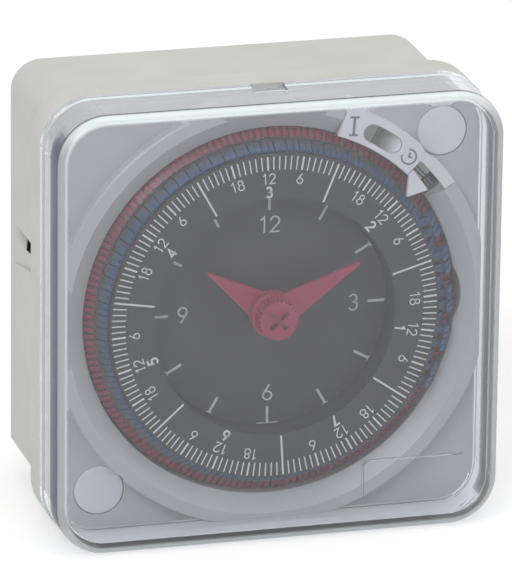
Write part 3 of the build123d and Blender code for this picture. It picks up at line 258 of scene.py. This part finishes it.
def shadeHousing(tree, colour):
    # painted shadow under the clip pockets' upper edges, and painted shade that turns their slots black
    look, place = housingShade, placeInPart(tree)
    sideways = addNode(tree, "Math", {"operation": "ABSOLUTE"}, {0: place["X"]})
    fall = addNode(tree, "Math", {"operation": "MULTIPLY", 1: look["slope"]}, {0: place["Y"]})
    # the level is the same all along the floor
    level = addNode(tree, "Math", {"operation": "SUBTRACT"}, {0: sideways, 1: fall})
    floor = look["half"] + look["back"] * look["slope"]
    roof = look["top"] + look["topSlack"]
    pocket = (
        (place["Y"], -look["back"], -look["back"] - sharp),
        (place["Y"], -look["front"], -look["front"] + sharp),
        (place["Z"], look["bottom"], look["bottom"] + sharp),
        (place["Z"], roof, roof - sharp),
    )
    shadow = (
        (sideways, look["half"] - look["shadowFrom"], look["half"] - look["shadowTo"]),
        (place["Z"], look["top"] - look["shadowTall"], look["top"]),
    )
    slot = (level, floor - look["slotFrom"], floor - look["slotTo"])
    colour = paintWhere(tree, colour, look["shadow"], *pocket, *shadow)
    return paintWhere(tree, colour, look["slot"], *pocket, slot)


ringShade = {
    "teeth": 1.5,  # their width
    "slope": 0.667,  # and how far they fall for each mm outwards
    # painted shade in the grooves between the teeth
    "groove": "#74304A",
    "grooveFrom": 0.05,  # behind the tips
    "grooveTo": 0.3,
    # painted shade where the teeth pass under the tappets
    "foot": "#51464D",
    "footFrom": 1.1,  # from the outside of the ring
    "footTo": 1.5,
}


def shadeToothedRing(tree, colour):
    # painted shade: dark lines between the teeth, and a darker foot where they pass under the tappets
    look, place, low = ringShade, placeInPart(tree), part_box("toothed_ring")[0] / mm
    outer = -low.x
    fall = addNode(tree, "Math", {"operation": "MULTIPLY", 1: look["slope"]}, {0: place["radius"]})
    # the level is the same all along the tips
    level = addNode(tree, "Math", {"operation": "SUBTRACT"}, {0: place["Y"], 1: fall})
    tips = low.y + (look["teeth"] - outer) * look["slope"]
    groove = (level, tips + look["grooveFrom"], tips + look["grooveTo"])
    foot = (place["radius"], outer - look["footFrom"], outer - look["footTo"])
    return paintWhere(tree, paintWhere(tree, colour, look["groove"], groove), look["foot"], foot)


tappetShade = {
    # painted shade on their outer ends
    "end": "#4C5059",
    "endFrom": 0.85,  # from their outer ends
    "endTo": 0.1,
}


def shadeTappets(tree, colour):
    # painted shade: their outer ends are darkened, as if standing in the dark between the week ring and
    # the teeth
    look, outer = tappetShade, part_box("tappets")[1].x / mm
    end = (placeInPart(tree)["radius"], outer - look["endFrom"], outer - look["endTo"])
    return paintWhere(tree, colour, look["end"], end)


leverShade = {
    # painted shade in the deep end of the thumb rest
    "rest": "#70706C",  # the deep end of the thumb rest
    "restFrom": 0.5,  # behind the switch plate's front
    "restTo": 1.9,
    "tailLong": 4.2,
    # painted shade on the ribbed tail under the switch plate
    "tail": "#A3A3A0",
    # painted shade in the tail's grooves
    "groove": "#484847",
    "grooveFrom": 1.0,
    "grooveTo": 1.3,
}


def shadeLever(tree, colour):
    # painted shade: the thumb rest darkens as it goes down, and the ribbed tail is darkened under the
    # switch plate, darkest in its grooves
    look, place = leverShade, placeInPart(tree)
    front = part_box("switch_plate")[0].y / mm
    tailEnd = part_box("manual_lever")[0].z / mm + look["tailLong"]
    tail = (place["Z"], tailEnd, tailEnd - sharp)
    rest = (place["Y"], front + look["restFrom"], front + look["restTo"])
    groove = (place["Y"], front + look["grooveFrom"], front + look["grooveTo"])
    colour = paintWhere(tree, colour, look["rest"], rest)
    colour = paintWhere(tree, colour, look["tail"], tail)
    return paintWhere(tree, colour, look["groove"], tail, groove)


feelerShade = {
    # painted light on the rib tops
    "top": "#666668",
    "topFrom": 0.3,  # behind the head's front
    "topTo": 0.05,
}


def shadeFeeler(tree, colour):
    # painted light: lighter rib tops on the head, black between them
    look, front = feelerShade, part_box("switch_feeler")[0].y / mm
    ribs = (placeInPart(tree)["Y"], front + look["topFrom"], front + look["topTo"])
    return paintWhere(tree, colour, look["top"], ribs)


# real rolling and tool lines are too fine to show, so they are drawn 0.2 to 0.3 mm wide
metalLooks = {
    # zinc-plated mild steel, stamped: pale blue-grey with faint rolling streaks
    "zincPlatedSteel": {
        "tones": ("#B4B7BA", "#C6C9CB"), "streak": 0.25, "stretch": (1, 1, 0.08), "depth": 0.003,
        "roughness": 0.3, "uneven": 0.06,
    },
    # brass, turned and blanked: warm, with fine tool lines
    "turnedBrass": {
        "tones": ("#C29A4C", "#D2AC5E"), "streak": 0.2, "stretch": (1, 0.1, 1), "depth": 0.003,
        "roughness": 0.26, "uneven": 0.06,
    },
    # enamelled copper wire, wound: a glossy orange-brown with the turns as fine bands
    "enamelledCopper": {
        "tones": ("#A2532B", "#C4713F"), "streak": 0.3, "stretch": (0.02, 1, 0.02), "depth": 0.003,
        "roughness": 0.3, "uneven": 0.06,
    },
}


def workedMetal(name):
    look = metalLooks[name]
    material, tree = newMaterial(name)
    streaks = spotsOf(tree, look["streak"], stretch=look["stretch"])
    colour, roughness = unevenSurface(tree, look, streaks, streaks)
    bump = addNode(tree, "Bump", {"Distance": look["depth"] * mm, "Strength": 1}, {"Height": streaks})
    links = {"Base Color": colour, "Roughness": roughness, "Normal": bump}
    shader = addNode(tree, "BsdfPrincipled", {"Metallic": 1}, links)
    addNode(tree, "OutputMaterial", links={"Surface": shader})
    return material


coverLook = {
    "tint": "#F4F6F9",
    "lampTint": "#E3E4E6",  # what a lamp loses on its way through: both skins turn some of it back
    "ior": 1.56,
    "roughness": 0.01,
    "rippleSize": 7,  # slow thickness ripples from moulding
    "rippleDepth": 0.004,
    "edgeHighlight": "#EDF4F6",  # painted highlight: a milky veil on the rounded front edge and the lip's bevel
    "highlightShare": 0.4,
    "highlightShareUp": 0.85,  # painted light: more where they face up, into the light
    "highlightShareDown": 0.7,  # and where they face the bright floor
    "turnFrom": 0.2,  # how far a face is turned up or down
    "turnTo": 0.8,
    "bevelBack": (0.1, 0.35),  # how far a bevel faces forward: 0 is a wall, 1 the window
    "bevelFront": (0.99, 0.93),
    "slate": "#4A5162",  # painted reflection: a dark sheet over the front half of the side walls, for the dark seen bent through them
    "slateShare": 0.62,
    "slateFacing": (0.3, 0.1),
    "slateAhead": (5.2, 6.0),  # from the seam
    "slateHeight": (33.5, 30.5),  # none in the top and bottom walls
    "slateWall": 33,
}


def coverZones(tree, look):
    # how much a point belongs to the painted highlight on the bevels, and to the painted dark on the front
    # half of the side walls
    place = placeInPart(tree)
    normal = addNode(tree, "NewGeometry").outputs["Normal"]
    facing = addNode(tree, "SeparateXYZ", links={0: normal}).outputs
    front = addNode(tree, "Math", {"operation": "ABSOLUTE"}, {0: facing["Y"]})
    sideways = addNode(tree, "Math", {"operation": "ABSOLUTE"}, {0: place["X"]})
    height = addNode(tree, "Math", {"operation": "ABSOLUTE"}, {0: place["Z"]})
    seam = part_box("clear_cover")[1].y / mm
    turned = []
    for way, full in ((1, look["highlightShareUp"]), (-1, look["highlightShareDown"])):
        turn = {"From Min": way * look["turnFrom"], "From Max": way * look["turnTo"]}
        amount = {"To Min": look["highlightShare"], "To Max": full}
        turned.append(addNode(tree, "MapRange", {**turn, **amount}, {"Value": facing["Z"]}))
    edgeHighlight = addNode(tree, "Math", {"operation": "MAXIMUM"}, {0: turned[0], 1: turned[1]})
    bevel = shareWhere(tree, (front, *look["bevelBack"]), (front, *look["bevelFront"]))
    wall = shareWhere(
        tree,
        (front, *look["slateFacing"]),
        (sideways, look["slateWall"], look["slateWall"] + sharp),
        (place["Y"], *[seam - ahead for ahead in look["slateAhead"]]),
        (height, *look["slateHeight"]),
    )
    paintedHighlight = addNode(tree, "Math", {"operation": "MULTIPLY"}, {0: bevel, 1: edgeHighlight})
    dark = addNode(tree, "Math", {"operation": "MULTIPLY", 1: look["slateShare"]}, {0: wall})
    return paintedHighlight, dark


def mouldedClearPolycarbonate(look):
    # clear polycarbonate, polished mould: a painted highlight on the rounded edge, painted dark walls
    # where it bends the view
    material, tree = newMaterial("mouldedClearPolycarbonate")
    ripple = spotsOf(tree, look["rippleSize"], detail=1)
    bump = addNode(tree, "Bump", {"Distance": look["rippleDepth"] * mm, "Strength": 1}, {"Height": ripple})
    resin = {"Base Color": linearColour(look["tint"]), "IOR": look["ior"], "Roughness": look["roughness"]}
    seen = addNode(tree, "BsdfPrincipled", {"Transmission Weight": 1, **resin}, {"Normal": bump})
    paintedHighlight, dark = coverZones(tree, look)
    for name, share in (("edgeHighlight", paintedHighlight), ("slate", dark)):
        veil = addNode(tree, "BsdfDiffuse", {"Color": linearColour(look[name])})
        seen = addNode(tree, "MixShader", links={0: share, 1: seen, 2: veil})
    clear = addNode(tree, "BsdfTransparent", {"Color": linearColour(look["lampTint"])})
    path = addNode(tree, "LightPath").outputs
    lampRays = {0: path["Is Shadow Ray"], 1: path["Is Diffuse Ray"]}
    fromLamp = addNode(tree, "Math", {"operation": "MAXIMUM"}, lampRays)
    shader = addNode(tree, "MixShader", links={0: fromLamp, 1: seen, 2: clear})
    addNode(tree, "OutputMaterial", links={"Surface": shader})
    return material


inkLooks = {
    # white two-part epoxy ink, pad printed: matt, a little thin in places
    "padPrintedWhiteInk": {
        "tones": ("#DADBDA", "#F0F0EE"), "thin": 0.4, "roughness": 0.55, "uneven": 0.05, "ior": 1.5,
    },
    # pale grey ink of the fixed hour marks: matt, softer than the white
    "padPrintedPaleInk": {
        "tones": ("#C6C8C9", "#D8DADA"), "thin": 0.4, "roughness": 0.55, "uneven": 0.05, "ior": 1.5,
    },
    # mid grey ink of the switch symbols: matt
    "padPrintedGreyInk": {
        "tones": ("#7C7F85", "#8A8D92"), "thin": 0.4, "roughness": 0.55, "uneven": 0.05, "ior": 1.5,
    },
}


def padPrintedInk(name):
    look = inkLooks[name]
    material, tree = newMaterial(name)
    thin = spotsOf(tree, look["thin"], detail=3)
    colour, roughness = unevenSurface(tree, look, thin, thin)
    links = {"Base Color": colour, "Roughness": roughness}
    shader = addNode(tree, "BsdfPrincipled", {"IOR": look["ior"]}, links)
    addNode(tree, "OutputMaterial", links={"Surface": shader})
    return material


slotFinishes = {
    "grey_case": mouldedPlastic("mouldedGreyAbs"),
    "light_plate": mouldedPlastic("blastedPaleAbs"),
    "white_plastic": mouldedPlastic("blastedWhiteAbs"),
    "clear_cover": mouldedClearPolycarbonate(coverLook),
    "red_plastic": mouldedPlastic("mouldedRedAcetal"),
    "blue_plastic": mouldedPlastic("mouldedBlueAcetal"),
    "dial_black": mouldedPlastic("mattBlackAbs"),
    "natural_plastic": mouldedPlastic("hobbedNaturalAcetal"),
    "black_plastic": mouldedPlastic("glassFilledBlackNylon"),
    "lead_sheath": mouldedPlastic("extrudedBrownPvc"),
    "magnet": mouldedPlastic("sinteredFerrite"),
    "steel": workedMetal("zincPlatedSteel"),
    "brass": workedMetal("turnedBrass"),
    "copper": workedMetal("enamelledCopper"),
}
shadedFinishes = {
    "housing": mouldedPlastic("mouldedGreyAbs", shadeHousing),
    "toothed_ring": mouldedPlastic("mouldedRedAcetal", shadeToothedRing),
    "tappets": mouldedPlastic("mouldedBlueAcetal", shadeTappets),
    "manual_lever": mouldedPlastic("blastedWhiteAbs", shadeLever),
    "switch_feeler": mouldedPlastic("glassFilledBlackNylon", shadeFeeler),
}

for subpart in frame["record"]["subparts"]:
    node = frame["nodes"][subpart["node"]]
    finish = shadedFinishes.get(subpart["node"], slotFinishes[subpart["material_slot"]])
    node.data.materials.clear()
    node.data.materials.append(finish)


def arc(centre, radius, first, last, steps=10):
    # points on an arc, angles anticlockwise from the right, in degrees
    turns = [math.radians(first + (last - first) * i / steps) for i in range(steps + 1)]
    return [(centre[0] + radius * math.cos(t), centre[1] + radius * math.sin(t)) for t in turns]


def ringOf(centre, radius, steps=18):
    return arc(centre, radius, 90, 450 - 360 / steps, steps - 1) + ["closed"]


# each sign in a box one unit high, standing on 0 and centred on 0
strokes = {
    "1": [[(-0.16, 0.8), (0.06, 1), (0.06, 0)]],
    "2": [arc((0, 0.72), 0.27, 175, -38) + [(-0.27, 0.04), (0.3, 0.04)]],
    "3": [arc((-0.02, 0.745), 0.235, 155, -90) + arc((-0.02, 0.265), 0.265, 80, -155)],
    "4": [[(0.12, 0), (0.12, 0.98), (-0.29, 0.28), (0.3, 0.28)]],
    "5": [[(0.24, 0.97), (-0.17, 0.97), (-0.22, 0.53)] + arc((-0.02, 0.31), 0.29, 125, -150)],
    "6": [ringOf((0, 0.29), 0.27), [(-0.235, 0.42), (0.13, 1)]],
    "7": [[(-0.27, 0.97), (0.27, 0.97), (-0.08, 0)]],
    "8": [ringOf((0, 0.75), 0.22), ringOf((0, 0.27), 0.27)],
    "9": [ringOf((0, 0.71), 0.27), [(0.235, 0.58), (-0.13, 0)]],
}
signAdvance = 0.72  # from one digit to the next, in heights
mitreLimit = 0.5  # the sharpest corners are cut at twice the stroke's half width


def strokeEdges(points, width, closed):
    # left and right edge of a stroke, mitred at its corners
    edges = []
    count = len(points)
    for i, point in enumerate(points):
        here = Vector(point)
        before = Vector(points[i - 1]) if i or closed else None
        after = Vector(points[(i + 1) % count]) if i < count - 1 or closed else None
        into = (here - before).normalized() if before else (after - here).normalized()
        out = (after - here).normalized() if after else into
        along = (into + out).normalized()
        normal = Vector((-along.y, along.x))
        reach = width / 2 / max(mitreLimit, normal.dot(Vector((-out.y, out.x))))
        edges.append((here + normal * reach, here - normal * reach))
    return edges


def addStroke(shape, points, width, place, thickness):
    # a flat ribbon of ink: place turns a point of the drawing plane and a height into the part's space
    closed = points[-1] == "closed"
    edges = strokeEdges(points[:-1] if closed else points, width, closed)
    rings = []
    for left, right in edges:
        corners = [(left, thickness), (right, thickness), (right, 0), (left, 0)]
        rings.append([shape.verts.new(place(corner, height)) for corner, height in corners])
    pairs = zip(rings, rings[1:] + rings[:1]) if closed else zip(rings, rings[1:])
    for first, second in pairs:
        for i in range(4):
            shape.faces.new((first[i], first[(i + 1) % 4], second[(i + 1) % 4], second[i]))
    if not closed:
        shape.faces.new(rings[0][::-1])
        shape.faces.new(rings[-1])


def dialPlace(radius, clock, turn, scale, frontY):
    # a drawing plane centred at a clock position on the dial, turned clockwise by turn
    centre = Vector((radius * math.sin(math.radians(clock)), 0, radius * math.cos(math.radians(clock))))
    spin = math.radians(turn)

    def place(point, height):
        x, z = point[0] * scale, point[1] * scale
        across = x * math.cos(spin) + z * math.sin(spin)
        up = z * math.cos(spin) - x * math.sin(spin)
        return Vector((centre.x + across, frontY - height, centre.z + up)) * mm

    return place


def addText(shape, text, height, weight, place, thickness):
    # place works in text heights, and the middle of the text is its origin
    start = -signAdvance * (len(text) - 1) / 2
    for i, sign in enumerate(text):
        for points in strokes[sign]:
            moved = [p if p == "closed" else (p[0] + start + i * signAdvance, p[1] - 0.5) for p in points]
            addStroke(shape, moved, weight / height, place, thickness)


def addMark(shape, inner, outer, clock, width, frontY, thickness):
    place = dialPlace(0, 0, clock, 1, frontY)
    addStroke(shape, [(0, inner), (0, outer)], width, place, thickness)


def pieceFrom(shape, name, material, body):
    bmesh.ops.recalc_face_normals(shape, faces=shape.faces)
    mesh = bpy.data.meshes.new(name)
    shape.to_mesh(mesh)
    shape.free()
    mesh.materials.append(material)
    piece = bpy.data.objects.new(name, mesh)
    bpy.context.scene.collection.objects.link(piece)
    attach(piece, body)
    return piece


weekPrint = {
    "noon": -3.4,  # clock angle of noon on the day at the top
    "topDay": 3,
    "outer": 26.3,
    "tick": 2.2,
    "dayLine": 6.55,  # at midnight
    "tickWidth": 0.2,
    "boldWidth": 0.3,  # every six hours
    "hourHeight": 1.65,
    "hourRadius": 22.7,
    "hourWeight": 0.19,
    "dayRadius": 20.55,
    "dayWeight": 0.32,
    "thickness": 0.02,
}


def makeWeekPrint(sizes):
    shape = bmesh.new()
    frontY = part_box("week_dial")[0].y / mm
    days, hoursInDay = 7, 24
    hours = days * hoursInDay
    for hour in range(hours):  # counted from noon
        clock = sizes["noon"] + hour * 360 / hours
        length = sizes["dayLine"] if hour % hoursInDay == 12 else sizes["tick"]
        width = sizes["boldWidth"] if hour % 6 == 0 else sizes["tickWidth"]
        addMark(shape, sizes["outer"] - length, sizes["outer"], clock, width, frontY, sizes["thickness"])
    for day in range(days):
        noon = sizes["noon"] + day * 360 / days
        for text, hour in (("6", -6), ("12", 0), ("18", 6)):
            clock = noon - hour * 360 / hours
            place = dialPlace(sizes["hourRadius"], clock, clock, sizes["hourHeight"], frontY)
            addText(shape, text, sizes["hourHeight"], sizes["hourWeight"], place, sizes["thickness"])
        number = str((sizes["topDay"] - 1 - day) % days + 1)
        place = dialPlace(sizes["dayRadius"], noon, noon, sizes["hourHeight"], frontY)
        addText(shape, number, sizes["hourHeight"], sizes["dayWeight"], place, sizes["thickness"])
    return pieceFrom(shape, "week_ring_print", padPrintedInk("padPrintedWhiteInk"), "week")


makeWeekPrint(weekPrint)
print("week ring printed")

hourPrint = {
    "inner": 16.2,
    "outer": 18.95,
    "markWidth": 0.42,
    "barWidth": 0.14,
    "barHalf": 0.5,
    "longBarHalf": 1.7,  # under the 6
    "numberRadius": 13.85,
    "numberHeight": 2.6,
    "numberWeight": 0.26,
    "thickness": 0.02,
}


def makeHourPrint(sizes):
    shape = bmesh.new()
    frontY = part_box("hour_disc")[0].y / mm
    thickness = sizes["thickness"]
    barHalves = {3: 0, 6: sizes["longBarHalf"], 9: 0, 12: 0}
    for hour in range(1, 13):
        clock = hour * 30  # degrees
        addMark(shape, sizes["inner"], sizes["outer"], clock, sizes["markWidth"], frontY, thickness)
        half = barHalves.get(hour, sizes["barHalf"])
        if half:
            bend = math.degrees(half / sizes["outer"])
            points = arc((0, 0), sizes["outer"], 90 + bend, 90 - bend, 6)
            addStroke(shape, points, sizes["barWidth"], dialPlace(0, 0, clock, 1, frontY), thickness)
        if hour % 3 == 0:
            place = dialPlace(sizes["numberRadius"], clock, 0, sizes["numberHeight"], frontY)
            addText(shape, str(hour), sizes["numberHeight"], sizes["numberWeight"], place, thickness)
    return pieceFrom(shape, "hour_disc_print", padPrintedInk("padPrintedPaleInk"), "case")


makeHourPrint(hourPrint)
print("hour disc printed")

signPrint = {
    "radius": 32.5,
    "onClock": 22.8,
    "onTurn": 4,
    "onHeight": 2.9,
    "onHalf": 0.75,  # of its two end bars
    "weight": 0.42,
    "barWeight": 0.336,
    "autoClock": 41.5,  # a small clock, open at its upper left
    "autoTurn": 20,
    "dialRadius": 1.2,
    "dialFrom": 110,
    "dialTo": -180,
    "dialWeight": 0.3,
    "longHand": 0.72,
    "shortHand": 0.54,
    "thickness": 0.02,
}


def makeSwitchSigns(sizes):
    shape = bmesh.new()
    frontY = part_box("switch_plate")[0].y / mm
    tall, half = sizes["onHeight"] / 2, sizes["onHalf"]
    place = dialPlace(sizes["radius"], sizes["onClock"], sizes["onTurn"], 1, frontY)
    addStroke(shape, [(0, -tall), (0, tall)], sizes["weight"], place, sizes["thickness"])
    for end in (-tall, tall):
        addStroke(shape, [(-half, end), (half, end)], sizes["barWeight"], place, sizes["thickness"])
    place = dialPlace(sizes["radius"], sizes["autoClock"], sizes["autoTurn"], 1, frontY)
    dial = arc((0, 0), sizes["dialRadius"], sizes["dialFrom"], sizes["dialTo"], 16)
    hands = [(0, sizes["longHand"]), (0, 0), (sizes["shortHand"], 0)]
    for points in (dial, hands):
        addStroke(shape, points, sizes["dialWeight"], place, sizes["thickness"])
    return pieceFrom(shape, "switch_signs", padPrintedInk("padPrintedGreyInk"), "case")


makeSwitchSigns(signPrint)
print("switch signs printed")

stage = {
    "floorGap": 0.05,
    "floorSize": 6000,
    "floorColour": "#E4E4E4",
    "floorGlow": 0.38,
    "ambient": 0.44,
}


def backgroundRay(tree):
    # 1 for what is seen straight, in a reflection or through the cover
    path = addNode(tree, "LightPath").outputs
    highest = {"operation": "MAXIMUM"}
    direct = addNode(tree, "Math", highest, {0: path["Is Camera Ray"], 1: path["Is Glossy Ray"]})
    return addNode(tree, "Math", highest, {0: direct, 1: path["Is Transmission Ray"]})


def makeFloor(sizes):
    half = sizes["floorSize"] / 2 * mm
    height = cadBox[0].z - sizes["floorGap"] * mm
    shape = bmesh.new()
    corners = [(-half, -half, height), (half, -half, height), (half, half, height), (-half, half, height)]
    shape.faces.new([shape.verts.new(corner) for corner in corners])
    mesh = bpy.data.meshes.new("floor")
    shape.to_mesh(mesh)
    shape.free()
    floor = bpy.data.objects.new("floor", mesh)
    bpy.context.scene.collection.objects.link(floor)
    material, tree = newMaterial("paintedBoard")  # painted board: a plain pale matt surface
    matt = addNode(tree, "BsdfDiffuse", {"Color": linearColour(sizes["floorColour"])})
    strength = {"operation": "MULTIPLY", 1: sizes["floorGlow"]}
    glow = {"Strength": addNode(tree, "Math", strength, {0: backgroundRay(tree)})}
    both = {0: matt, 1: addNode(tree, "Emission", {"Color": (1, 1, 1, 1)}, glow)}
    addNode(tree, "OutputMaterial", links={"Surface": addNode(tree, "AddShader", links=both)})
    mesh.materials.append(material)


def makeWorld(sizes):
    world = bpy.data.worlds.new("studio")
    world.use_nodes = True
    tree = world.node_tree
    tree.nodes.clear()
    seen = addNode(tree, "Background", {"Color": (1, 1, 1, 1), "Strength": 1})
    lit = addNode(tree, "Background", {"Color": (1, 1, 1, 1), "Strength": sizes["ambient"]})
    both = addNode(tree, "MixShader", links={0: backgroundRay(tree), 1: lit, 2: seen})
    addNode(tree, "OutputWorld", links={"Surface": both})
    bpy.context.scene.world = world


lamps = {
    "keySoftbox": {"place": (-650, -800, 800), "size": 600, "power": 7.2},
    "fillSoftbox": {"place": (900, -700, 450), "size": 700, "power": 3.0},
    "topSoftbox": {"place": (0, -150, 1100), "size": 500, "power": 2.6},
}


def makeLamp(name, look):
    lamp = bpy.data.objects.new(name, bpy.data.lights.new(name, "AREA"))
    lamp.data.size = look["size"] * mm
    lamp.data.energy = look["power"]
    lamp.location = Vector(look["place"]) * mm
    lamp.rotation_mode = "QUATERNION"
    lamp.rotation_quaternion = (-lamp.location).to_track_quat("-Z", "Y")
    bpy.context.scene.collection.objects.link(lamp)


makeFloor(stage)
makeWorld(stage)
for lampName, lampLook in lamps.items():
    makeLamp(lampName, lampLook)
print("stage lit")
